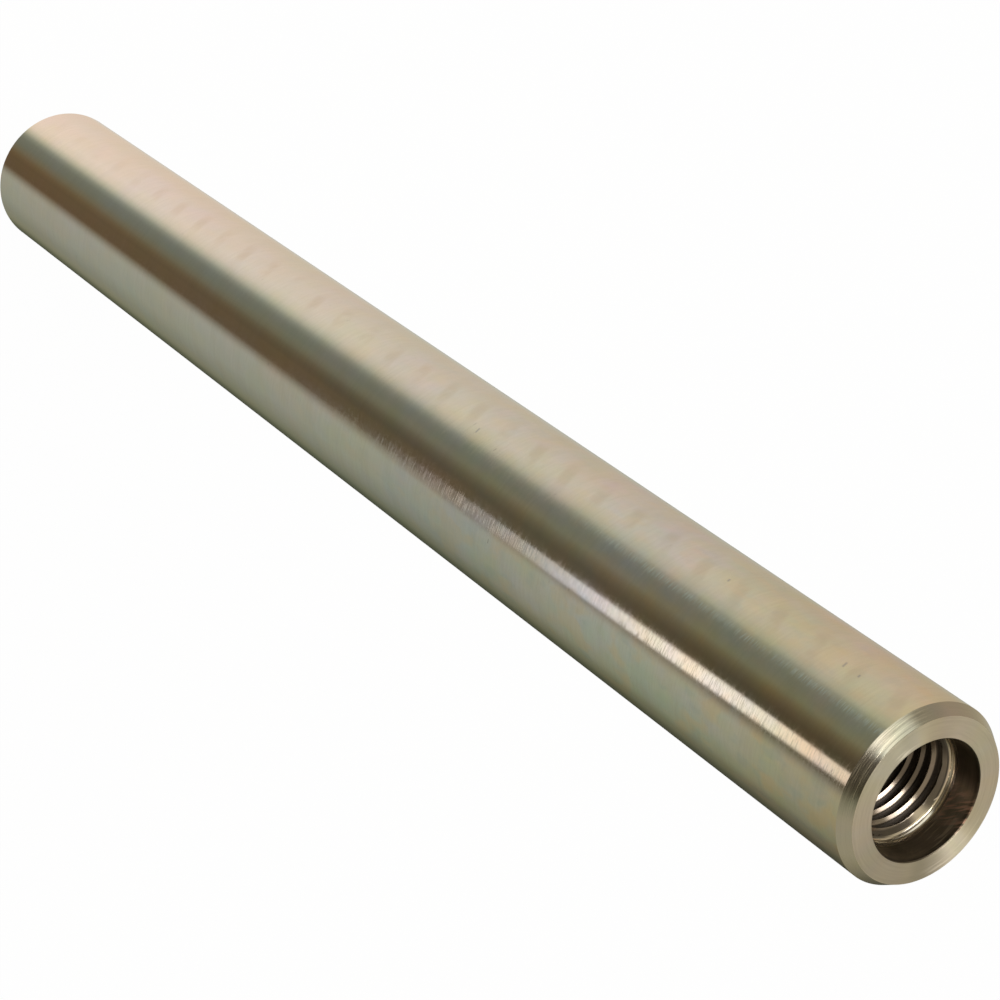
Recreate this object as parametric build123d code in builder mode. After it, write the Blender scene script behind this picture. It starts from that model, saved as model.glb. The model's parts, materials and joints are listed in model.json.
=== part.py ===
"""Pivot pin: one turned steel pin with a counterbored and tapped end.

The pin stands on its plain end with its axis on +Z and the tapped end up.
The origin is the centre of the plain end face. Lengths are in millimetres.
"""

import math
import os

from build123d import *

# Turned bar
PIN_DIAMETER = 25.4
PIN_LENGTH = 254.0
CHAMFER_LENGTH = 1.85
CHAMFER_ANGLE = 30.0  # degrees, between the chamfer and the pin's axis

# Counterbore in the tapped end, with a conical shoulder
COUNTERBORE_DIAMETER = 17.0
COUNTERBORE_DEPTH = 4.9  # from the end face to the edge where the wall and the shoulder would meet
COUNTERBORE_CORNER = 1.3  # radius left by the step drill's rounded corners
SHOULDER_ANGLE = 120.0
MOUTH_BREAK = 0.15  # deburred edge at the mouth

# M16 x 2 tapped hole below the shoulder
THREAD_DIAMETER = 16.0
THREAD_PITCH = 2.0
DRILL_DEPTH = 46.0  # from the end face to the start of the drill point
DRILL_POINT_ANGLE = 118.0

MINOR_HEIGHTS_PER_PITCH = 1.0825  # basic profile, both sides of the thread together

pin_radius = PIN_DIAMETER / 2
chamfer_depth = CHAMFER_LENGTH * math.tan(math.radians(CHAMFER_ANGLE))

counterbore_radius = COUNTERBORE_DIAMETER / 2
minor_radius = (THREAD_DIAMETER - MINOR_HEIGHTS_PER_PITCH * THREAD_PITCH) / 2
shoulder_depth = (counterbore_radius - minor_radius) / math.tan(math.radians(SHOULDER_ANGLE / 2))
drill_point_length = minor_radius / math.tan(math.radians(DRILL_POINT_ANGLE / 2))

# In this plane X is the radius and Y is the depth below the tapped end's face.
socket_plane = Plane(origin=(0, 0, PIN_LENGTH), x_dir=(1, 0, 0), z_dir=(0, 1, 0))

os.makedirs("parts", exist_ok=True)

with BuildPart() as pivot_pin:
    # Bar turned to size, with the same chamfer on both ends
    with BuildSketch(Plane.XZ):
        with BuildLine():
            Polyline(
                (0, 0),
                (pin_radius - chamfer_depth, 0),
                (pin_radius, CHAMFER_LENGTH),
                (pin_radius, PIN_LENGTH - CHAMFER_LENGTH),
                (pin_radius - chamfer_depth, PIN_LENGTH),
                (0, PIN_LENGTH),
                close=True,
            )
        make_face()
    revolve(axis=Axis.Z)

    # Stepped socket: counterbore, conical shoulder and tapping drill
    with BuildSketch(socket_plane) as socket_section:
        with BuildLine():
            Polyline(
                (0, 0),
                (counterbore_radius + MOUTH_BREAK, 0),
                (counterbore_radius, MOUTH_BREAK),
                (counterbore_radius, COUNTERBORE_DEPTH),
                (minor_radius, COUNTERBORE_DEPTH + shoulder_depth),
                (minor_radius, DRILL_DEPTH),
                (0, DRILL_DEPTH + drill_point_length),
                close=True,
            )
        make_face()
        corner = vertices().sort_by_distance((counterbore_radius, COUNTERBORE_DEPTH))[0]
        fillet(corner, radius=COUNTERBORE_CORNER)
    revolve(axis=Axis.Z, mode=Mode.SUBTRACT)

pivot_pin.part.label = "pivot_pin"
export_step(pivot_pin.part, "parts/pivot_pin.step")
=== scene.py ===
"""Looks of the pivot pin: one turned, counterbored and tapped steel pin with a chromated zinc plating.

Lengths are in metres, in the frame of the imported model: the pin stands on its plain end, with its axis on +Z
and the tapped end up. Azimuths are counted from +X towards +Y, seen from above.
"""

import json
import math

import bpy
from mathutils import Matrix, Vector


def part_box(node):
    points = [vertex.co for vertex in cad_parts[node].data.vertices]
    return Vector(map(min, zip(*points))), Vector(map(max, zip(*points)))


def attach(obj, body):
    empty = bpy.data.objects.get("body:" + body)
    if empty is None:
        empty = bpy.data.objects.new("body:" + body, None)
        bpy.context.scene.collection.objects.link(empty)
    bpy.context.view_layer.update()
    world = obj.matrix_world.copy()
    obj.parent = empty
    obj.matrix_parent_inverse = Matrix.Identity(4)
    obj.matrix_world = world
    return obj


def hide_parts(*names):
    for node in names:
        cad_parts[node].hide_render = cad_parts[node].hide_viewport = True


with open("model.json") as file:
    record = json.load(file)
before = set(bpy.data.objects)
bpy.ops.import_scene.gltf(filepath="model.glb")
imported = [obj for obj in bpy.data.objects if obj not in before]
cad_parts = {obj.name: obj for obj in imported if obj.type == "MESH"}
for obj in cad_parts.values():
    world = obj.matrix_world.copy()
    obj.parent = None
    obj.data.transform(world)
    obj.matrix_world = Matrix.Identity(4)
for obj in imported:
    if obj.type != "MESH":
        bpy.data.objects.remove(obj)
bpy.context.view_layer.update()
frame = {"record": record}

MM = 0.001
NODE = "pivot_pin"

# ---------------------------------------------------------------------------------------------- sizes

MOUNTS = {mount["name"]: mount for mount in frame["record"]["mounts"]}


def mount_size(name, key):
    return MOUNTS[name]["dims"][key] * MM


LOW, HIGH = (Vector(corner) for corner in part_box(NODE))
PIN_LENGTH = HIGH.z - LOW.z
PIN_RADIUS = mount_size("shank", "r_mm")
CHAMFER_LENGTH = (PIN_LENGTH - mount_size("shank", "length_mm")) / 2
CHAMFER_ANGLE = math.radians(30)  # between the chamfer and the axis
CHAMFER_DEPTH = CHAMFER_LENGTH * math.tan(CHAMFER_ANGLE)

COUNTERBORE_RADIUS = mount_size("counterbore", "r_mm")
MOUTH_BREAK = 0.15 * MM
MOUTH_ROUND = 0.05 * MM  # radius of the two edges of the mouth's break
MOUTH_BAND = 0.3 * MM  # height of the first ring below the break
CORNER_RADIUS = 1.3 * MM  # between the counterbore's wall and its conical shoulder
SHOULDER_ANGLE = math.radians(60)  # between the shoulder and the axis
SHOULDER_SLOPE = math.tan(SHOULDER_ANGLE)
CORNER_START = MOUTH_BREAK + mount_size("counterbore", "length_mm")
# The depth where the wall and the shoulder would meet, without the corner's radius.
SHOULDER_START = CORNER_START + CORNER_RADIUS * math.tan(SHOULDER_ANGLE / 2)
TOOL_MARK_WIDTH = 0.18 * MM  # of the fine groove around the corner
TOOL_MARK_DEPTH = 0.06 * MM
TOOL_MARK_ANGLE = math.radians(47)  # place of the groove along the corner's arc
TOOL_MARK_HALF_ANGLE = TOOL_MARK_WIDTH / CORNER_RADIUS / 2

THREAD_PITCH = 2.0 * MM
MINOR_RADIUS = mount_size("tapped_hole", "r_mm")
GROOVE_DEPTH = 0.54127 * THREAD_PITCH  # of the ISO basic profile
CREST_FLAT = 0.0625 * MM  # half the width of the crest's level part
CREST_BEVEL = 0.31 * MM  # height of the bevel that the tap leaves above each crest
CREST_BEVEL_SLOPE = math.tan(math.radians(50))
FLANK_SLOPE = math.tan(math.radians(60))  # each flank leans 30 degrees from level
THREAD_START = SHOULDER_START + 0.42 * MM  # on the shoulder
THREAD_LEAD_IN = 0.15 * MM  # the groove deepens over this length at its start
SHOULDER_END = SHOULDER_START + (COUNTERBORE_RADIUS - MINOR_RADIUS) / SHOULDER_SLOPE
HOLE_DEPTH = SHOULDER_END + mount_size("tapped_hole", "length_mm")
DRILL_POINT = MINOR_RADIUS / math.tan(math.radians(118 / 2))
THREAD_CHANGE = 13 * MM  # below this depth the thread's mesh is coarser
THREAD_END = 36 * MM  # the tap stops short of the drill point
THREAD_RUN_OUT = 1.5 * THREAD_PITCH  # the groove fades over this length at its end
CREST_DEPTH = 4.50 * MM  # depth of the first crest's middle, continued up to azimuth CREST_AZIMUTH
CREST_AZIMUTH = math.radians(-60)

EDGE_ROUND = 0.04 * MM  # radius of the edges between the turned surfaces
ROLL_PITCH = 8.05 * MM  # between the faint marks that the straightening rolls left
ROLL_STARTS = 5  # rows of marks that run side by side
ROLL_PHASE = 0.24  # share of the pitch by which the rows are moved along the pin

# ----------------------------------------------------------------------------------------------- mesh

COLUMNS = 192  # points around the pin
FINE_ROWS = 32  # rows per pitch of the thread near the mouth
COARSE_ROWS = 14  # and deeper down
CLEAR_ROWS = 0.3  # no row's point lies nearer than this to the level ring that ends its mesh
SHANK_ROWS = 24
ROUND_STEPS = 3  # in the arc of each rounded edge
STEPS_BEFORE_MARK = 8  # in the corner's arc, down to the tool mark
STEPS_AFTER_MARK = 4
SHARP_ANGLE = math.radians(50)  # edges that bend more than this are shaded sharp

SHANK, CHAMFER, FACE, WALL, SEAT, THREAD = range(6)


def rounded_corner(before, corner, after, radius):
    """Points of the arc of this radius that rounds a corner of a profile."""
    to_before = (before - corner).normalized()
    to_after = (after - corner).normalized()
    half = to_before.angle(to_after) / 2
    centre = corner + (to_before + to_after).normalized() * radius / math.sin(half)
    start = (corner + to_before * radius / math.tan(half) - centre).normalized()
    end = (corner + to_after * radius / math.tan(half) - centre).normalized()
    steps = [step / ROUND_STEPS for step in range(ROUND_STEPS + 1)]
    return [centre + start.slerp(end, step).normalized() * radius for step in steps]


def profile_rings(corners):
    """Rings (radius, height, surface) of a profile whose corners are (radius, height, rounding, surface)."""
    points = [Vector((r, z)) for r, z, _, _ in corners]
    rings = []
    for index, (r, z, rounding, surface) in enumerate(corners):
        if rounding:
            arc = rounded_corner(points[index - 1], points[index], points[index + 1], rounding)
            rings += [(point.x, point.y, surface) for point in arc]
        else:
            rings.append((r, z, surface))
    return rings


def corner_rings():
    """The arc between the counterbore's wall and its shoulder, with the tool mark's groove around it."""
    centre_radius = COUNTERBORE_RADIUS - CORNER_RADIUS
    before = [
        TOOL_MARK_ANGLE * step / STEPS_BEFORE_MARK - TOOL_MARK_HALF_ANGLE
        for step in range(1, STEPS_BEFORE_MARK + 1)
    ]
    mark_end = TOOL_MARK_ANGLE + TOOL_MARK_HALF_ANGLE
    after = [
        mark_end + (SHOULDER_ANGLE - mark_end) * step / STEPS_AFTER_MARK
        for step in range(STEPS_AFTER_MARK + 1)
    ]
    bottom = [TOOL_MARK_ANGLE - TOOL_MARK_HALF_ANGLE / 2, TOOL_MARK_ANGLE + TOOL_MARK_HALF_ANGLE / 2]
    arc = [(0.0, 0.0)]
    arc += [(angle, 0.0) for angle in before]
    arc += [(angle, TOOL_MARK_DEPTH) for angle in bottom]
    arc += [(angle, 0.0) for angle in after]
    rings = []
    for angle, cut in arc:
        reach = CORNER_RADIUS + cut
        depth = CORNER_START + reach * math.sin(angle)
        rings.append((centre_radius + reach * math.cos(angle), PIN_LENGTH - depth, SEAT if angle else WALL))
    return rings


def outer_rings():
    """From the plain end, up the outside and down the counterbore to the start of the thread."""
    rim = PIN_RADIUS - CHAMFER_DEPTH
    shoulder = PIN_LENGTH - CHAMFER_LENGTH
    shank = [
        (PIN_RADIUS, CHAMFER_LENGTH + (shoulder - CHAMFER_LENGTH) * row / SHANK_ROWS, 0, SHANK)
        for row in range(1, SHANK_ROWS)
    ]
    corners = [
        (rim * 0.5, 0, 0, FACE),
        (rim, 0, EDGE_ROUND, FACE),
        (PIN_RADIUS, CHAMFER_LENGTH, EDGE_ROUND, CHAMFER),
        *shank,
        (PIN_RADIUS, shoulder, EDGE_ROUND, SHANK),
        (rim, PIN_LENGTH, EDGE_ROUND, CHAMFER),
        (COUNTERBORE_RADIUS + MOUTH_BREAK, PIN_LENGTH, MOUTH_ROUND, FACE),
        (COUNTERBORE_RADIUS, PIN_LENGTH - MOUTH_BREAK, MOUTH_ROUND, WALL),
        (COUNTERBORE_RADIUS, PIN_LENGTH - MOUTH_BREAK - MOUTH_BAND, 0, WALL),
    ]
    thread_ring = (shoulder_radius(THREAD_START), PIN_LENGTH - THREAD_START, SEAT)
    return profile_rings(corners) + corner_rings() + [thread_ring]


def shoulder_radius(depth):
    return COUNTERBORE_RADIUS - (depth - SHOULDER_START) * SHOULDER_SLOPE


def thread_radius(azimuth, depth):
    """Radius of the tapped wall: 60 degree grooves, bevelled crests, and first turns cut by the shoulder."""
    turns = (depth - CREST_DEPTH) / THREAD_PITCH + (azimuth - CREST_AZIMUTH) / math.tau
    below_crest = ((turns + 0.5) % 1 - 0.5) * THREAD_PITCH
    from_crest = max(abs(below_crest) - CREST_FLAT, 0)
    if below_crest > 0:
        groove = from_crest * FLANK_SLOPE
    else:
        bevel = min(from_crest, CREST_BEVEL)
        groove = bevel * CREST_BEVEL_SLOPE + (from_crest - bevel) * FLANK_SLOPE
    lead_in = (depth - THREAD_START) / THREAD_LEAD_IN
    run_out = (THREAD_END - depth) / THREAD_RUN_OUT
    groove = min(groove, GROOVE_DEPTH) * min(max(min(lead_in, run_out), 0), 1)
    return max(MINOR_RADIUS + groove, shoulder_radius(depth))


class PinMesh:
    """Collects the points and faces of the turned pin."""

    def __init__(self):
        self.points = []
        self.faces = []
        self.surfaces = []

    def point(self, azimuth, radius, height):
        self.points.append((radius * math.cos(azimuth), radius * math.sin(azimuth), height))
        return len(self.points) - 1

    def face(self, corners, surface):
        self.faces.append(corners)
        self.surfaces.append(surface)

    def ring(self, radius, height):
        return [self.point(math.tau * i / COLUMNS, radius, height) for i in range(COLUMNS)]

    def threaded_ring(self, depth):
        """A level ring whose points lie on the threaded wall."""
        ring = []
        for i in range(COLUMNS):
            azimuth = math.tau * i / COLUMNS
            ring.append(self.point(azimuth, thread_radius(azimuth, depth), PIN_LENGTH - depth))
        return ring

    def band(self, ring, next_ring, surface):
        for i in range(COLUMNS):
            j = (i + 1) % COLUMNS
            self.face((ring[i], ring[j], next_ring[j], next_ring[i]), surface)

    def cap(self, ring, centre, surface):
        for i in range(COLUMNS):
            self.face((ring[i], ring[(i + 1) % COLUMNS], centre), surface)

    def thread_columns(self, top_ring, bottom_ring, top, bottom, rows_per_pitch):
        """One list of (row, depth, point) per column, whose rows follow the helix between two level rings."""
        spacing = THREAD_PITCH / rows_per_pitch
        columns = []
        for i in range(COLUMNS):
            azimuth = math.tau * i / COLUMNS
            lead = CREST_DEPTH - THREAD_PITCH * (azimuth - CREST_AZIMUTH) / math.tau
            first = math.ceil((top - lead) / spacing + CLEAR_ROWS)
            last = math.floor((bottom - lead) / spacing - CLEAR_ROWS)
            column = [(None, top, top_ring[i])]
            for row in range(first, last + 1):
                depth = lead + row * spacing
                point = self.point(azimuth, thread_radius(azimuth, depth), PIN_LENGTH - depth)
                column.append((row, depth, point))
            column.append((None, bottom, bottom_ring[i]))
            columns.append(column)
        return columns

    def stitch(self, left, right, row_shift, surface):
        """Faces between two columns: quads along the helix, and triangles where a row ends at a flat ring."""
        a = b = 0
        while a < len(left) - 1 or b < len(right) - 1:
            here = (left[a][2], right[b][2])
            if a == len(left) - 1:
                b += 1
                self.face((here[0], here[1], right[b][2]), surface)
                continue
            if b == len(right) - 1:
                a += 1
                self.face((here[0], here[1], left[a][2]), surface)
                continue
            next_left, next_right = left[a + 1], right[b + 1]
            rows = (next_left[0], next_right[0])
            if rows == (None, None) or (None not in rows and rows[0] + row_shift == rows[1]):
                a, b = a + 1, b + 1
                self.face((here[0], here[1], next_right[2], next_left[2]), surface)
            elif next_left[1] < next_right[1]:
                a += 1
                self.face((here[0], here[1], next_left[2]), surface)
            else:
                b += 1
                self.face((here[0], here[1], next_right[2]), surface)

    def thread(self, top_ring, bottom_ring, top, bottom, rows_per_pitch):
        columns = self.thread_columns(top_ring, bottom_ring, top, bottom, rows_per_pitch)
        for i in range(COLUMNS - 1):
            self.stitch(columns[i], columns[i + 1], 0, THREAD)
        self.stitch(columns[-1], columns[0], -rows_per_pitch, THREAD)


def build_pin(materials):
    mesh = PinMesh()
    centre = mesh.point(0, 0, 0)
    ring = None
    for radius, height, surface in outer_rings():
        next_ring = mesh.ring(radius, height)
        if ring is None:
            mesh.cap(next_ring[::-1], centre, FACE)
        else:
            mesh.band(ring, next_ring, surface)
        ring = next_ring
    change = mesh.threaded_ring(THREAD_CHANGE)
    thread_bottom = mesh.threaded_ring(THREAD_END)
    mesh.thread(ring, change, THREAD_START, THREAD_CHANGE, FINE_ROWS)
    mesh.thread(change, thread_bottom, THREAD_CHANGE, THREAD_END, COARSE_ROWS)
    hole_bottom = mesh.ring(MINOR_RADIUS, PIN_LENGTH - HOLE_DEPTH)
    mesh.band(thread_bottom, hole_bottom, THREAD)
    mesh.cap(hole_bottom, mesh.point(0, 0, PIN_LENGTH - HOLE_DEPTH - DRILL_POINT), THREAD)

    data = bpy.data.meshes.new("turned_pin")
    data.from_pydata(mesh.points, [], mesh.faces)
    for material in materials:
        data.materials.append(material)
    data.polygons.foreach_set("material_index", mesh.surfaces)
    data.polygons.foreach_set("use_smooth", [True] * len(mesh.faces))
    data.validate()
    piece = bpy.data.objects.new("turned_pin", data)
    bpy.context.scene.collection.objects.link(piece)
    data.set_sharp_from_angle(angle=SHARP_ANGLE)
    weighted = piece.modifiers.new("even shading", "WEIGHTED_NORMAL")
    weighted.keep_sharp = True
    return piece


# ------------------------------------------------------------------------------------------ materials

GRINDING = (8, 8500, 7.0, 1)  # the grinding's short strokes, as arguments of Steel.noise
CLOUD_COLOUR = (0.26, 0.12, 0.46)  # how far the plating's clouds swing each channel
WHITE = (1, 1, 1, 1)
# The shank's scratches: azimuth, height in millimetres and length in millimetres.
SCRATCHES = ((232, 239.1, 1.3), (233, 242.2, 0.7), (244, 157.0, 1.3), (229, 214.0, 0.8))
STREAK_SLOPE = 1.26  # climb of the bore's streaks, which carry a painted reflected glow, per unit of length around it

# Light and shade that are painted into the colours of the tapped end. They stay in place under any light.
# The face has windows (azimuth, half width, softness, change of brightness). The shoulder and the thread's
# mouth have stops (azimuth, brightness).
FACE_SHADES = ((15, 45, 25, -0.22), (253, 15, 10, -0.33), (50, 14, 9, -0.20), (220, 14, 10, -0.08))
SHOULDER_SHADES = (
    (-180, 0.20),
    (30, 0.22),
    (44, 0.75),
    (60, 0.80),
    (72, 0.48),
    (86, 0.30),
    (100, 0.10),
    (150, 0.12),
    (180, 0.20),
)
THREAD_MOUTH_SHADES = (
    (-180, 0.19),
    (40, 0.22),
    (62, 0.22),
    (71, 0.50),
    (80, 0.50),
    (89, 0.30),
    (135, 0.38),
    (150, 0.17),
    (180, 0.19),
)


class Nodes:
    """Short forms for building a node tree."""

    def __init__(self, tree):
        self.tree = tree
        tree.nodes.clear()

    def node(self, kind, settings=None, **inputs):
        """Makes a node. Inputs go by their name, or by their number as i0, i1 and so on."""
        made = self.tree.nodes.new(kind)
        for key, value in (settings or {}).items():
            setattr(made, key, value)
        for key, value in inputs.items():
            self.put(made.inputs[int(key[1:]) if key[0] == "i" and key[1:].isdigit() else key], value)
        return made

    def put(self, socket, value):
        if isinstance(value, bpy.types.NodeSocket):
            self.tree.links.new(value, socket)
        else:
            socket.default_value = value

    def math(self, operation, a, b=0.0, c=0.0):
        return self.node("ShaderNodeMath", {"operation": operation}, i0=a, i1=b, i2=c).outputs[0]

    def product(self, first, *others):
        for other in others:
            first = self.math("MULTIPLY", first, other)
        return first

    def span(self, value, low, high, to_low=0.0, to_high=1.0, smooth=True):
        settings = {"interpolation_type": "SMOOTHSTEP" if smooth else "LINEAR", "clamp": True}
        made = self.node("ShaderNodeMapRange", settings, i0=value, i1=low, i2=high, i3=to_low, i4=to_high)
        return made.outputs[0]

    def mix(self, factor, a, b, blend="MIX"):
        made = self.node("ShaderNodeMix", {"data_type": "RGBA", "blend_type": blend}, i0=factor, i6=a, i7=b)
        return made.outputs[2]

    def vector(self, operation, a, b=(0, 0, 0), c=(0, 0, 0)):
        return self.node("ShaderNodeVectorMath", {"operation": operation}, i0=a, i1=b, i2=c).outputs[0]

    def noise(self, vector, detail, roughness):
        made = self.node("ShaderNodeTexNoise", {"noise_dimensions": "3D"})
        self.put(made.inputs["Vector"], vector)
        self.put(made.inputs["Scale"], 1.0)
        self.put(made.inputs["Detail"], detail)
        self.put(made.inputs["Roughness"], roughness)
        return made.outputs

    def ramp(self, factor, stops):
        made = self.node("ShaderNodeValToRGB", i0=factor)
        elements = made.color_ramp.elements
        while len(elements) < len(stops):
            elements.new(0.5)
        for element, (position, colour) in zip(elements, stops):
            element.position = position
            element.color = (*colour, 1)
        return made.outputs[0]


def panorama(nodes, turn, panels):
    """Colours around the pin's axis, from stops (azimuth in degrees, colour). A turn of 0.5 is azimuth 0."""
    return nodes.ramp(turn, [((degrees + 180) / 360, colour) for degrees, colour in panels])


def grey_stops(stops):
    return [(place, (value, value, value)) for place, value in stops]


class PinPlace:
    """Sockets for a point's place: around the pin, out from its axis, along it and along the tool's path."""

    def __init__(self, nodes):
        place = nodes.node("ShaderNodeTexCoord").outputs["Object"]
        x, y, self.height = nodes.node("ShaderNodeSeparateXYZ", i0=place).outputs
        squares = nodes.math("ADD", nodes.math("MULTIPLY", x, x), nodes.math("MULTIPLY", y, y))
        self.radius = nodes.math("MAXIMUM", nodes.math("SQRT", squares), 0.1 * MM)
        self.cosine = nodes.math("DIVIDE", x, self.radius)
        self.sine = nodes.math("DIVIDE", y, self.radius)
        self.turns = nodes.math("DIVIDE", nodes.math("ARCTAN2", y, x), math.tau)
        self.path = nodes.math("SUBTRACT", self.height, self.radius)


class Steel:
    """A steel under a thin chromated plating, built up layer by layer from its colour."""

    def __init__(self, name, colour):
        self.material = bpy.data.materials.new(name)
        self.material.use_nodes = True
        self.nodes = Nodes(self.material.node_tree)
        self.place = PinPlace(self.nodes)
        self.colour = (*colour, 1)
        self.height = 0.0
        self.roughening = 0.0
        self.normal = self.nodes.node("ShaderNodeNewGeometry").outputs["Normal"]

    def noise(self, around, along, shift=0.0, detail=2.0, roughness=0.5):
        """Noise that changes `around` times about the pin and `along` times per metre of the tool's path."""
        vector = self.nodes.node(
            "ShaderNodeCombineXYZ",
            i0=self.nodes.math("MULTIPLY_ADD", self.place.cosine, around, shift),
            i1=self.nodes.math("MULTIPLY", self.place.sine, around),
            i2=self.nodes.math("MULTIPLY", self.place.path, along),
        )
        return self.nodes.noise(vector.outputs[0], detail, roughness)

    def grain(self, *place_and_look):
        return self.noise(*place_and_look)[0]

    def tint(self, colours):
        """Multiplies the colour by another."""
        self.colour = self.nodes.mix(1.0, self.colour, colours, "MULTIPLY")

    def shade(self, factor):
        """Multiplies the colour by a grey factor socket."""
        self.tint(self.nodes.node("ShaderNodeCombineXYZ", i0=factor, i1=factor, i2=factor).outputs[0])

    def shade_where(self, mask, change):
        """Makes the colour brighter, or darker, by this share where the mask is 1."""
        self.shade(self.nodes.math("MULTIPLY_ADD", mask, change, 1.0))

    def cover(self, mask, strength, colour):
        self.colour = self.nodes.mix(self.nodes.product(mask, strength), self.colour, (*colour, 1))

    def clouds(self, amount):
        """The plating's interference colours: clouds of three sizes, longer around the pin than along it."""
        nodes = self.nodes
        towards_top = nodes.span(self.place.height, 0.05, 0.22, 0.45, 1.0)
        for around, along, shift, strength in ((0.9, 34, 0, 1.0), (2.2, 110, 5, 0.8), (5, 260, 11, 0.5)):
            swing = [channel * strength * amount for channel in CLOUD_COLOUR]
            patches = nodes.vector("ADD", self.noise(around, along, shift)[1], (-0.5, -0.5, -0.5))
            scaled = nodes.node("ShaderNodeVectorMath", {"operation": "SCALE"}, i0=patches, Scale=towards_top)
            self.tint(nodes.vector("MULTIPLY_ADD", scaled.outputs[0], swing, (1, 1, 1)))

    def tool_lines(self, pitch, height, shade, strength=1.0):
        """Fine lines around the pin, of uneven depth and length: this far apart, this high and this dark."""
        long = self.grain(0.8, 1 / pitch, 0.0, 2, 0.6)
        short = self.grain(2.5, 0.7 / pitch, 3.0, 2, 0.6)
        lines = self.nodes.math("SUBTRACT", self.nodes.math("ADD", long, short), 1.0)
        lines = self.nodes.product(lines, strength)
        self.shade(self.nodes.span(lines, -0.3, 0.3, 1 - shade, 1 + shade))
        self.height = self.nodes.math("MULTIPLY_ADD", lines, height / 2, self.height)

    def ground_strokes(self, tip, roughening):
        """Short strokes around the pin, left by grinding: each tips the surface a little, some are rough."""
        nodes = self.nodes
        strokes = self.grain(*GRINDING)
        near_end = nodes.span(self.place.height, 0.10, 0.165, 0.2, 1.0)
        amount = nodes.product(nodes.math("SUBTRACT", strokes, 0.5), nodes.product(near_end, tip))
        sideways = nodes.node(
            "ShaderNodeCombineXYZ",
            i0=nodes.product(self.place.sine, nodes.product(amount, -1)),
            i1=nodes.product(self.place.cosine, amount),
        )
        tipped = nodes.vector("ADD", self.normal, sideways.outputs[0])
        self.normal = nodes.vector("NORMALIZE", tipped)
        self.roughening = nodes.product(nodes.span(strokes, 0.50, 0.66), roughening, near_end)

    def hairlines(self):
        """Sparse thin scratches around the pin."""
        line = self.nodes.span(self.grain(7, 2100, 9.0, 1, 0.4), 0.80, 0.83)
        self.cover(line, 0.4, (0.20, 0.18, 0.14))

    def finish(self, roughness, anisotropy):
        """Metal whose highlights are drawn out along the pin, across the tool lines."""
        nodes = self.nodes
        bump = nodes.node("ShaderNodeBump")
        nodes.put(bump.inputs["Strength"], 1.0)
        nodes.put(bump.inputs["Distance"], 1.0)
        nodes.put(bump.inputs["Height"], self.height)
        nodes.put(bump.inputs["Normal"], self.normal)
        patches = nodes.math("SUBTRACT", self.grain(2.2, 110, 5.0), 0.5)
        rough = nodes.math("MULTIPLY_ADD", patches, roughness * 0.35, roughness)
        rough = nodes.math("ADD", rough, self.roughening)
        tangent = nodes.node("ShaderNodeTangent", {"direction_type": "RADIAL", "axis": "Z"}).outputs[0]
        shader = nodes.node("ShaderNodeBsdfPrincipled")
        nodes.put(shader.inputs["Base Color"], self.colour)
        nodes.put(shader.inputs["Metallic"], 1.0)
        nodes.put(shader.inputs["Roughness"], rough)
        nodes.put(shader.inputs["Anisotropic"], anisotropy)
        nodes.put(shader.inputs["Anisotropic Rotation"], 0.25)
        nodes.put(shader.inputs["Tangent"], tangent)
        nodes.put(shader.inputs["Normal"], bump.outputs[0])
        output = nodes.node("ShaderNodeOutputMaterial")
        nodes.put(output.inputs["Surface"], shader.outputs[0])
        return self.material


def turns_from(steel, azimuth):
    """Turns from an azimuth in degrees to the point, between -0.5 and 0.5."""
    nodes = steel.nodes
    away = nodes.math("SUBTRACT", steel.place.turns, azimuth / 360)
    return nodes.math("SUBTRACT", away, nodes.math("ROUND", away))


def angle_window(steel, centre, half_width, soft):
    """A mask of the surface within some degrees of an azimuth, with soft edges."""
    away = steel.nodes.math("ABSOLUTE", turns_from(steel, centre))
    return steel.nodes.span(away, (half_width + soft) / 360, (half_width - soft) / 360)


def shades_around(steel, stops):
    """Light and shade painted around the pin, from stops (azimuth in degrees, brightness)."""
    return panorama(steel.nodes, steel.nodes.math("ADD", steel.place.turns, 0.5), grey_stops(stops))


def scratch(steel, azimuth, height, length, width, slope):
    """A mask of one thin scratch, `length` around the pin, that climbs by `slope` per unit of length."""
    nodes = steel.nodes
    around = nodes.math("MULTIPLY", turns_from(steel, azimuth), math.tau * PIN_RADIUS)
    centre_line = nodes.math("MULTIPLY_ADD", around, slope, height)
    across = nodes.math("ABSOLUTE", nodes.math("SUBTRACT", steel.place.height, centre_line))
    ends = nodes.span(nodes.math("ABSOLUTE", around), length / 2, length / 4)
    return nodes.product(ends, nodes.span(across, width, width / 3))


def arc_glints(steel, shift):
    """A mask of fine arcs where the tool dragged, on which glints of light are painted."""
    return steel.nodes.span(steel.grain(2.5, 4200, shift, 1, 0.5), 0.54, 0.66)


def stroke_glint_band(steel):
    """A mask of a narrow band of grinding strokes along the pin, towards its tapped end, on which light glints
    are painted.
    """
    nodes = steel.nodes
    strokes = nodes.span(steel.grain(6, 8500, 4.0, 1), 0.45, 0.62)
    patches = nodes.span(steel.grain(1.5, 160, 6.0), 0.35, 0.60, 0.5, 1.0)
    band = nodes.product(angle_window(steel, 254.3, 2.2, 1.6), nodes.span(steel.place.height, 0.18, 0.205))
    return nodes.product(strokes, patches, band)


def blots(steel, size, shift, low, high):
    """A mask of uneven spots of about this size, plainest near the tapped end and around azimuth 322."""
    nodes = steel.nodes
    spots = nodes.span(steel.grain(0.012 / size, 0.6 / size, shift), low, high)
    side = nodes.math("MULTIPLY_ADD", angle_window(steel, 322, 28, 12), 0.6, 0.4)
    towards_top = nodes.span(steel.place.height, 0.10, 0.23, 0.2, 1.0)
    return nodes.product(spots, side, towards_top)


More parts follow.
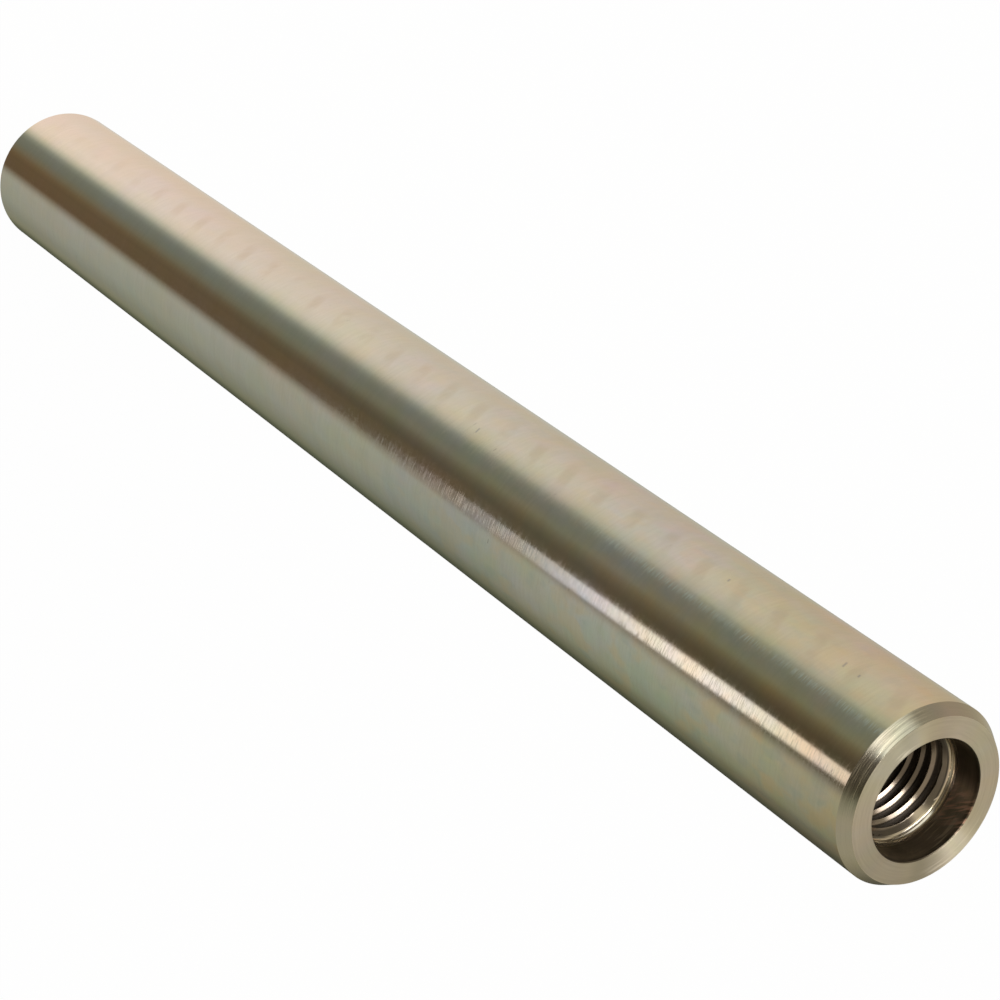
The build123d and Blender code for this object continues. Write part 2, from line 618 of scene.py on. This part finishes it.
def roll_marks(steel):
    """A mask of faint blots on steep helixes, where the straightening rolls ran over the bar."""
    nodes = steel.nodes
    height = nodes.math("DIVIDE", steel.place.height, ROLL_PITCH)
    phase = nodes.math("MULTIPLY_ADD", steel.place.turns, -ROLL_STARTS, height)
    wave = nodes.math("COSINE", nodes.product(nodes.math("ADD", phase, ROLL_PHASE), math.tau))
    side = nodes.math("MULTIPLY_ADD", angle_window(steel, 232, 9, 5), 0.8, 0.2)
    patches = nodes.span(steel.grain(3, 220, 2.0), 0.28, 0.62)
    from_far_end = nodes.span(steel.place.height, 0.01, 0.08, 0.25, 1.0)
    return nodes.product(nodes.span(wave, 0.25, 1.0), patches, side, from_far_end)


def strip_stroke_shading(steel):
    """The grinding's strokes again, painted a little lighter and darker along the middle of the bright
    reflected strip.
    """
    nodes = steel.nodes
    strokes = nodes.span(steel.grain(*GRINDING), 0.38, 0.62, -0.09, 0.06)
    above = nodes.span(steel.place.height, 0.145, 0.165)
    below = nodes.span(steel.place.height, 0.215, 0.195)
    return nodes.product(strokes, above, below, angle_window(steel, 289, 5, 3))


def shank_steel():
    steel = Steel("plated shank", (0.78, 0.67, 0.54))
    along = steel.nodes.span(steel.place.height, 0, PIN_LENGTH, smooth=False)
    plain = (1.0, 1.0, 1.0)
    ends = ((0.0, (1.03, 1.0, 0.98)), (0.35, plain), (0.86, plain), (1.0, (1.03, 1.0, 0.90)))
    steel.tint(steel.nodes.ramp(along, ends))
    steel.clouds(1.0)
    steel.tool_lines(pitch=0.30 * MM, height=3e-6, shade=0.02)
    steel.ground_strokes(tip=0.020, roughening=0.09)
    steel.cover(roll_marks(steel), 0.38, (0.63, 0.48, 0.32))
    steel.cover(blots(steel, 2.5 * MM, 15.0, 0.52, 0.70), 0.28, (0.48, 0.52, 0.50))
    steel.cover(blots(steel, 3.5 * MM, 21.0, 0.50, 0.66), 0.50, (0.95, 0.64, 0.38))
    # Painted glints on a band of grinding strokes.
    steel.cover(stroke_glint_band(steel), 0.7, (0.98, 0.93, 0.80))
    # Painted light and shade of the strokes within the bright reflected strip.
    steel.shade_where(strip_stroke_shading(steel), 1.0)
    steel.hairlines()
    for azimuth, height, length in SCRATCHES:
        line = scratch(steel, azimuth, height * MM, length * MM, width=0.26 * MM, slope=0.3)
        steel.cover(line, 0.45, (0.30, 0.29, 0.30))
    return steel.finish(roughness=0.10, anisotropy=0.3)


def chamfer_steel():
    steel = Steel("turned chamfer", (0.76, 0.67, 0.52))
    nodes, height = steel.nodes, steel.place.height
    steel.clouds(0.6)
    deep_side = nodes.math("MULTIPLY_ADD", angle_window(steel, 264, 30, 18), 0.95, 0.05)
    below_edge = nodes.span(height, PIN_LENGTH - 0.08 * MM, PIN_LENGTH - 0.30 * MM, 0.1, 1.0)
    deep = nodes.product(deep_side, below_edge)
    steel.tool_lines(pitch=0.18 * MM, height=60e-6, shade=0.34, strength=deep)
    # Shade painted on the side that the photograph shows.
    edge = nodes.span(height, PIN_LENGTH - 0.035 * MM, PIN_LENGTH - 0.02 * MM)
    steel.shade_where(nodes.product(edge, angle_window(steel, 248, 16, 8)), -0.75)
    steel.shade_where(angle_window(steel, 242, 8, 8), -0.15)
    steel.hairlines()
    return steel.finish(roughness=0.20, anisotropy=0.6)


def face_steel():
    steel = Steel("turned end face", (0.78, 0.71, 0.57))
    nodes, radius = steel.nodes, steel.place.radius
    steel.clouds(0.5)
    near_mouth = nodes.span(radius, 8.8 * MM, 10.0 * MM, 1.0, 0.5)
    near_rim = nodes.span(radius, 10.2 * MM, 11.4 * MM, 0.0, 0.5)
    near_edges = nodes.math("ADD", near_mouth, near_rim)
    steel.tool_lines(pitch=0.24 * MM, height=80e-6, shade=0.06, strength=near_edges)
    for *window, change in FACE_SHADES:
        steel.shade_where(angle_window(steel, *window), change)
    # Painted glints on the tool's arcs, near the rim and near the mouth.
    by_rim = nodes.product(angle_window(steel, 76, 26, 16), nodes.span(radius, 9.7 * MM, 10.9 * MM))
    by_mouth = nodes.product(angle_window(steel, 268, 28, 16), nodes.span(radius, 10.0 * MM, 9.0 * MM))
    arcs = nodes.product(arc_glints(steel, 13.0), nodes.math("MAXIMUM", by_rim, by_mouth))
    steel.cover(arcs, 0.5, (1.0, 0.94, 0.80))
    steel.hairlines()
    return steel.finish(roughness=0.42, anisotropy=0.88)


def slanted_strokes(steel, around, along):
    """Noise drawn out along steep lines in the bore."""
    nodes = steel.nodes
    arc = nodes.math("MULTIPLY", steel.place.turns, math.tau * COUNTERBORE_RADIUS)
    across = nodes.math("MULTIPLY_ADD", arc, -STREAK_SLOPE, steel.place.height)
    vector = nodes.node(
        "ShaderNodeCombineXYZ",
        i0=nodes.product(steel.place.cosine, around),
        i1=nodes.product(steel.place.sine, around),
        i2=nodes.product(across, along),
    )
    return nodes.noise(vector.outputs[0], 2.0, 0.5)[0]


def wall_steel():
    # Its colour is much darker than the shank's plated steel: painted shade of the deep bore.
    steel = Steel("bored wall", (0.31, 0.255, 0.185))
    nodes = steel.nodes
    steel.clouds(0.5)
    steel.tool_lines(pitch=0.20 * MM, height=12e-6, shade=0.10)
    # Painted shade, all around the mouth and deep on one side.
    steel.shade(nodes.span(steel.place.height, PIN_LENGTH - 1.0 * MM, PIN_LENGTH - 0.2 * MM, 1.0, 0.45))
    steel.shade_where(angle_window(steel, 144, 26, 18), -0.58)
    # Streaks carrying a painted reflected glow, painted glints on fine arcs, and a duller patch among them.
    spots = nodes.span(slanted_strokes(steel, 5, 1500), 0.42, 0.62)
    steel.cover(nodes.product(angle_window(steel, 99, 14, 10), spots), 0.7, (0.80, 0.50, 0.36))
    arcs = nodes.product(arc_glints(steel, 17.0), angle_window(steel, 74, 14, 12))
    steel.cover(arcs, 0.5, (0.75, 0.66, 0.50))
    steel.roughening = nodes.product(angle_window(steel, 98, 13, 12), 0.10)
    return steel.finish(roughness=0.33, anisotropy=0.4)


def nick_glint(steel):
    """A mask of the small nick where the shoulder begins, on which a bright glint is painted."""
    nodes = steel.nodes
    turns = nodes.math("SUBTRACT", steel.place.turns, 97 / 360)
    middle = nodes.math("MULTIPLY_ADD", turns, 18 * MM, 7.92 * MM)
    across = nodes.math("ABSOLUTE", nodes.math("SUBTRACT", steel.place.radius, middle))
    ends = nodes.span(nodes.math("ABSOLUTE", turns), 3.4 / 360, 1.8 / 360)
    return nodes.product(ends, nodes.span(across, 0.075 * MM, 0.03 * MM))


def tool_mark(steel):
    """A mask of the groove around the corner, on the side around azimuth 62, where the seat darkens it."""
    nodes = steel.nodes
    down = nodes.math("SUBTRACT", PIN_LENGTH - CORNER_START, steel.place.height)
    outward = nodes.math("SUBTRACT", steel.place.radius, COUNTERBORE_RADIUS - CORNER_RADIUS)
    angle = nodes.math("ARCTAN2", down, outward)
    away = nodes.math("ABSOLUTE", nodes.math("SUBTRACT", angle, TOOL_MARK_ANGLE))
    groove = nodes.span(away, TOOL_MARK_HALF_ANGLE * 1.2, TOOL_MARK_HALF_ANGLE * 0.7)
    return nodes.product(groove, angle_window(steel, 62, 20, 12))


def seat_steel():
    """The corner's arc and the shoulder."""
    # Its colour is lighter than the shank's plated steel: painted light on the corner's arc.
    steel = Steel("bored seat", (0.84, 0.74, 0.60))
    nodes = steel.nodes
    on_corner = nodes.span(steel.place.radius, 7.90 * MM, 8.06 * MM)
    steel.tint(nodes.mix(on_corner, shades_around(steel, SHOULDER_SHADES), WHITE))
    steel.clouds(0.5)
    steel.tool_lines(pitch=0.20 * MM, height=8e-6, shade=0.06)
    steel.cover(tool_mark(steel), 0.9, (0.03, 0.025, 0.02))
    # Painted shade where the arc meets the wall.
    corner_height = PIN_LENGTH - CORNER_START
    near_wall = nodes.span(steel.place.height, corner_height - 0.50 * MM, corner_height - 0.25 * MM)
    steel.shade_where(nodes.product(near_wall, angle_window(steel, 124, 22, 8)), -0.62)
    # A painted glint on the small nick.
    steel.cover(nick_glint(steel), 0.8, (1.0, 0.90, 0.75))
    return steel.finish(roughness=0.18, anisotropy=0.4)


def thread_steel():
    """The grooves below the bore's own surface carry painted shade and are duller."""
    # Its colour is darker than the shank's plated steel: painted shade of the deep bore.
    steel = Steel("cut thread", (0.55, 0.47, 0.38))
    nodes = steel.nodes
    shoulder_end = PIN_LENGTH - SHOULDER_END
    on_shoulder = nodes.span(steel.place.height, shoulder_end - 0.1 * MM, shoulder_end + 0.15 * MM)
    # Painted shade below the shoulder, and painted light and shade around the thread's mouth.
    steel.tint(nodes.mix(on_shoulder, (0.62, 0.60, 0.60, 1), shades_around(steel, THREAD_MOUTH_SHADES)))
    steel.clouds(0.4)
    steel.tool_lines(pitch=0.25 * MM, height=8e-6, shade=0.08)
    below_shoulder = nodes.math("SUBTRACT", PIN_LENGTH - SHOULDER_START, steel.place.height)
    shoulder = nodes.math("MULTIPLY_ADD", below_shoulder, -SHOULDER_SLOPE, COUNTERBORE_RADIUS)
    cut = nodes.math("SUBTRACT", steel.place.radius, nodes.math("MAXIMUM", shoulder, MINOR_RADIUS))
    # Painted shade where the light doesn't reach, then painted shade in the duller grooves by their depth,
    # lightened again at their bottoms.
    deep = nodes.span(steel.place.height, PIN_LENGTH - 7.6 * MM, PIN_LENGTH - 8.9 * MM)
    steel.shade_where(nodes.product(deep, angle_window(steel, 125, 36, 10)), -0.45)
    steel.shade(nodes.span(cut, 0.34 * MM, 0.52 * MM, 1.0, 0.26))
    steel.shade(nodes.span(cut, 0.70 * MM, 1.0 * MM, 1.0, 1.9))
    steel.roughening = nodes.span(cut, 0.45 * MM, 0.85 * MM, 0.0, 0.40)
    return steel.finish(roughness=0.23, anisotropy=0.4)


def pin_materials():
    """One material per turned surface, in the order SHANK, CHAMFER, FACE, WALL, SEAT, THREAD."""
    return [shank_steel(), chamfer_steel(), face_steel(), wall_steel(), seat_steel(), thread_steel()]


# ---------------------------------------------------------------------------------------------- stage

FLOOR_REACH = 3.0
FLOOR_GLOW = 0.98  # share of plain white in what the camera sees of the floor
LAMP_DISTANCE = 1.2  # from the tapped end's face
CAMERA_PLACE = Vector((0, -280.0, 475.0)) * MM
CAMERA_AIM = Vector((0.77, 0, 157.0)) * MM
CAMERA_ROLL = math.radians(-125.9)
CAMERA_LENS = 102.92
CAMERA_SENSOR = 36.0


def tinted_side(nodes, panels, side, fall):
    """Multiplies the panels by a colour that changes with height, on the side where the mask is 1."""
    return nodes.mix(1.0, panels, nodes.mix(side, WHITE, fall), "MULTIPLY")


def lower_studio(nodes, azimuth, height):
    """What the shank mirrors: bright panels behind, a dark camera side, a light strip, a dim right side."""
    rise = nodes.span(height, -0.87, -0.64, smooth=False)
    on_left = nodes.span(azimuth, 0.236, 0.333, 1, 0)
    lean_left = nodes.product(nodes.span(rise, 0, 0.75, -0.0145, 0.023), on_left)
    on_right = nodes.product(nodes.span(azimuth, 0.33, 0.36), nodes.span(azimuth, 0.50, 0.42))
    lean_right = nodes.product(nodes.span(rise, 0.35, 0.95, 0, -0.012), on_right)
    leaned = nodes.math("ADD", azimuth, nodes.math("ADD", lean_left, lean_right))
    panels = panorama(
        nodes,
        leaned,
        (
            (-180, (0.825, 0.82, 0.80)),
            (-150, (0.85, 0.87, 0.86)),
            (-136, (0.78, 0.81, 0.78)),
            (-127, (0.56, 0.62, 0.57)),
            (-119, (0.29, 0.34, 0.32)),
            (-112, (0.20, 0.235, 0.225)),
            (-103, (0.18, 0.21, 0.195)),
            (-90, (0.20, 0.215, 0.165)),
            (-82, (0.175, 0.17, 0.115)),
            (-72, (0.115, 0.11, 0.08)),
            (-52, (0.108, 0.10, 0.075)),
            (-40, (0.36, 0.385, 0.36)),
            (-35, (0.39, 0.44, 0.425)),
            (0, (0.33, 0.385, 0.36)),
            (45, (0.20, 0.22, 0.17)),
            (58, (0.115, 0.13, 0.09)),
            (72, (0.072, 0.08, 0.058)),
            (88, (0.08, 0.09, 0.07)),
            (105, (0.65, 0.65, 0.58)),
            (125, (0.71, 0.66, 0.56)),
            (150, (0.76, 0.73, 0.66)),
            (180, (0.825, 0.82, 0.80)),
        ),
    )
    bright_fall = nodes.ramp(
        rise,
        (
            (0.0, (1.15, 1.065, 1.065)),
            (0.13, (1.05, 0.99, 0.99)),
            (0.36, (0.87, 0.88, 0.885)),
            (0.70, (0.75, 0.77, 0.745)),
            (1.0, (0.73, 0.70, 0.655)),
        ),
    )
    bright_stops = ((-180, 1), (-134, 1), (-118, 0), (85, 0), (105, 1), (180, 1))
    panels = tinted_side(nodes, panels, panorama(nodes, leaned, grey_stops(bright_stops)), bright_fall)

    dark_fall = nodes.ramp(rise, ((0.1, (1.25, 1.02, 0.88)), (0.6, (1, 1, 1)), (0.95, (0.78, 0.76, 0.75))))
    dark_side = panorama(nodes, azimuth, grey_stops(((-95, 0), (-75, 1), (-52, 1), (-44, 0))))
    panels = tinted_side(nodes, panels, dark_side, dark_fall)

    valley_fall = nodes.ramp(
        rise,
        (
            (0.1, (0.80, 0.79, 0.82)),
            (0.4, (0.66, 0.73, 0.86)),
            (0.65, (0.97, 0.95, 0.93)),
            (0.95, (0.88, 0.80, 0.82)),
        ),
    )
    valley = panorama(nodes, azimuth, grey_stops(((-97, 0), (-84, 1), (-77, 1), (-68, 0))))
    panels = tinted_side(nodes, panels, valley, valley_fall)

    right_fall = nodes.ramp(
        rise,
        (
            (0.40, (1.0, 1.0, 1.0)),
            (0.50, (0.86, 0.93, 0.97)),
            (0.62, (1.0, 1.04, 1.03)),
            (0.80, (1.0, 1.05, 1.0)),
            (0.90, (1.04, 1.0, 0.86)),
            (1.0, (0.95, 0.90, 0.74)),
        ),
    )
    right_side = panorama(nodes, leaned, grey_stops(((-46, 0), (-38, 1), (20, 1), (60, 0))))
    panels = tinted_side(nodes, panels, right_side, right_fall)

    limb_fall = nodes.ramp(
        rise,
        (
            (0.10, (1.12, 1.10, 1.03)),
            (0.45, (0.90, 0.92, 0.88)),
            (0.80, (0.79, 0.78, 0.72)),
            (1.0, (0.80, 0.74, 0.75)),
        ),
    )
    limb_side = panorama(nodes, azimuth, grey_stops(((25, 0), (40, 1), (72, 1), (88, 0))))
    panels = tinted_side(nodes, panels, limb_side, limb_fall)
    return nodes.mix(light_strip(nodes, azimuth, height, rise), panels, strip_glow(nodes, rise))


def light_strip(nodes, azimuth, height, rise):
    """A mask of the narrow upright light, whose two edges lean differently."""
    left_edge = nodes.span(rise, 0.62, 0.88, 0.337, 0.3195)
    past_left = nodes.span(nodes.math("SUBTRACT", azimuth, left_edge), -0.005, 0.005)
    slanted = nodes.math("MULTIPLY_ADD", height, 0.28, azimuth)
    return nodes.product(past_left, nodes.span(slanted, 0.185, 0.171), nodes.span(rise, 0.42, 0.50))


def strip_glow(nodes, rise):
    """The narrow light's colours, from its foot up."""
    return nodes.ramp(
        rise,
        (
            (0.50, (0.20, 0.19, 0.18)),
            (0.60, (0.50, 0.55, 0.60)),
            (0.66, (0.88, 1.00, 1.12)),
            (0.785, (1.32, 1.42, 1.50)),
            (0.90, (1.16, 1.12, 1.16)),
            (1.0, (0.88, 0.78, 0.74)),
        ),
    )


def upper_studio(nodes, azimuth, height):
    """What the ends mirror: a pale room with a window on the left, a dark camera side and a dim ceiling."""
    walls = panorama(
        nodes,
        azimuth,
        (
            (-180, (0.26, 0.25, 0.225)),
            (-158, (0.24, 0.24, 0.215)),
            (-145, (0.90, 0.95, 0.95)),
            (-106, (1.12, 1.17, 1.15)),
            (-96, (0.07, 0.06, 0.05)),
            (-52, (0.045, 0.042, 0.03)),
            (-38, (0.24, 0.25, 0.20)),
            (-20, (0.36, 0.36, 0.29)),
            (20, (0.35, 0.35, 0.28)),
            (60, (0.21, 0.20, 0.16)),
            (90, (0.34, 0.32, 0.27)),
            (125, (0.28, 0.25, 0.20)),
            (165, (0.34, 0.30, 0.25)),
            (180, (0.26, 0.25, 0.225)),
        ),
    )
    back_stops = ((-180, 0.7), (-160, 0.7), (-140, 0), (30, 0), (60, 1), (130, 1), (160, 0.7), (180, 0.7))
    back = nodes.product(panorama(nodes, azimuth, grey_stops(back_stops)), nodes.span(height, 0.15, 0.42))
    walls = nodes.mix(back, walls, (0.54, 0.51, 0.45, 1))
    room = nodes.mix(nodes.span(height, 0.50, 0.68), walls, (0.53, 0.48, 0.39, 1))
    skylight_stops = ((-180, 0.6), (-172, 1), (-135, 1), (-115, 0), (172, 0), (180, 0.6))
    skylight = panorama(nodes, azimuth, grey_stops(skylight_stops))
    skylight = nodes.product(skylight, nodes.span(height, 0.91, 0.95))
    return nodes.mix(skylight, room, (1.9, 1.8, 1.4, 1))


def build_world():
    """The camera sees plain white. All other rays, the metal's reflections among them, see the studio."""
    world = bpy.data.worlds.new("studio")
    bpy.context.scene.world = world
    world.use_nodes = True
    nodes = Nodes(world.node_tree)
    direction = nodes.node("ShaderNodeTexCoord").outputs["Generated"]
    x, y, height = nodes.node("ShaderNodeSeparateXYZ", i0=direction).outputs
    azimuth = nodes.math("ADD", nodes.math("DIVIDE", nodes.math("ARCTAN2", y, x), math.tau), 0.5)
    lower = lower_studio(nodes, azimuth, height)
    upper = upper_studio(nodes, azimuth, height)
    studio = nodes.mix(nodes.span(height, -0.60, 0.0), lower, upper)
    camera_ray = nodes.node("ShaderNodeLightPath").outputs["Is Camera Ray"]
    background = nodes.node("ShaderNodeBackground", i0=nodes.mix(camera_ray, studio, WHITE), i1=1.0)
    output = nodes.node("ShaderNodeOutputWorld")
    nodes.put(output.inputs["Surface"], background.outputs[0])


def floor_material():
    """Nearly white to the camera, with a trace of the pin's soft shadow, and plain matte to other rays."""
    material = bpy.data.materials.new("pale floor")
    material.use_nodes = True
    nodes = Nodes(material.node_tree)
    matte = nodes.node("ShaderNodeBsdfDiffuse")
    nodes.put(matte.inputs["Color"], (0.9, 0.9, 0.9, 1))
    glow = nodes.node("ShaderNodeEmission")
    nodes.put(glow.inputs["Strength"], 1.0)
    camera_ray = nodes.node("ShaderNodeLightPath").outputs["Is Camera Ray"]
    glow_share = nodes.product(camera_ray, FLOOR_GLOW)
    blend = nodes.node("ShaderNodeMixShader", i0=glow_share, i1=matte.outputs[0], i2=glow.outputs[0])
    output = nodes.node("ShaderNodeOutputMaterial")
    nodes.put(output.inputs["Surface"], blend.outputs[0])
    return material


def build_floor():
    """A plain floor that the pin doesn't mirror."""
    data = bpy.data.meshes.new("floor")
    corners = [(x * FLOOR_REACH, y * FLOOR_REACH, 0) for x, y in ((-1, -1), (1, -1), (1, 1), (-1, 1))]
    data.from_pydata(corners, [], [(0, 1, 2, 3)])
    data.materials.append(floor_material())
    floor = bpy.data.objects.new("floor", data)
    bpy.context.scene.collection.objects.link(floor)
    floor.visible_glossy = False


def build_lamp(name, power, width, height, elevation, azimuth):
    """A soft lamp turned to the tapped end, seen from there at this elevation and azimuth in degrees."""
    data = bpy.data.lights.new(name, "AREA")
    data.shape = "RECTANGLE"
    data.size = width
    data.size_y = height
    data.energy = power
    lamp = bpy.data.objects.new(name, data)
    up, around = math.radians(elevation), math.radians(azimuth)
    towards = Vector((math.cos(up) * math.cos(around), math.cos(up) * math.sin(around), math.sin(up)))
    lamp.location = Vector((0, 0, PIN_LENGTH)) + LAMP_DISTANCE * towards
    lamp.rotation_euler = towards.to_track_quat("Z", "Y").to_euler()
    bpy.context.scene.collection.objects.link(lamp)


def build_camera():
    """Looks down on the pin from its tapped end, rolled so that the pin runs from corner to corner."""
    data = bpy.data.cameras.new("camera")
    data.sensor_width = CAMERA_SENSOR
    data.lens = CAMERA_LENS
    data.clip_start = 0.01
    camera = bpy.data.objects.new("camera", data)
    upright = (CAMERA_AIM - CAMERA_PLACE).to_track_quat("-Z", "Y").to_matrix().to_4x4()
    camera.matrix_world = Matrix.Translation(CAMERA_PLACE) @ upright @ Matrix.Rotation(-CAMERA_ROLL, 4, "Z")
    bpy.context.scene.collection.objects.link(camera)
    bpy.context.scene.camera = camera


def main():
    build_camera()
    build_world()
    build_floor()
    build_lamp("soft lamp", power=4.0, width=0.60, height=0.24, elevation=58, azimuth=-123)
    build_lamp("small lamp", power=2.1, width=0.46, height=0.42, elevation=50, azimuth=-153)
    pin = build_pin(pin_materials())
    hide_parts(NODE)
    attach(pin, "root")
    bpy.context.scene.view_settings.view_transform = "Standard"


main()
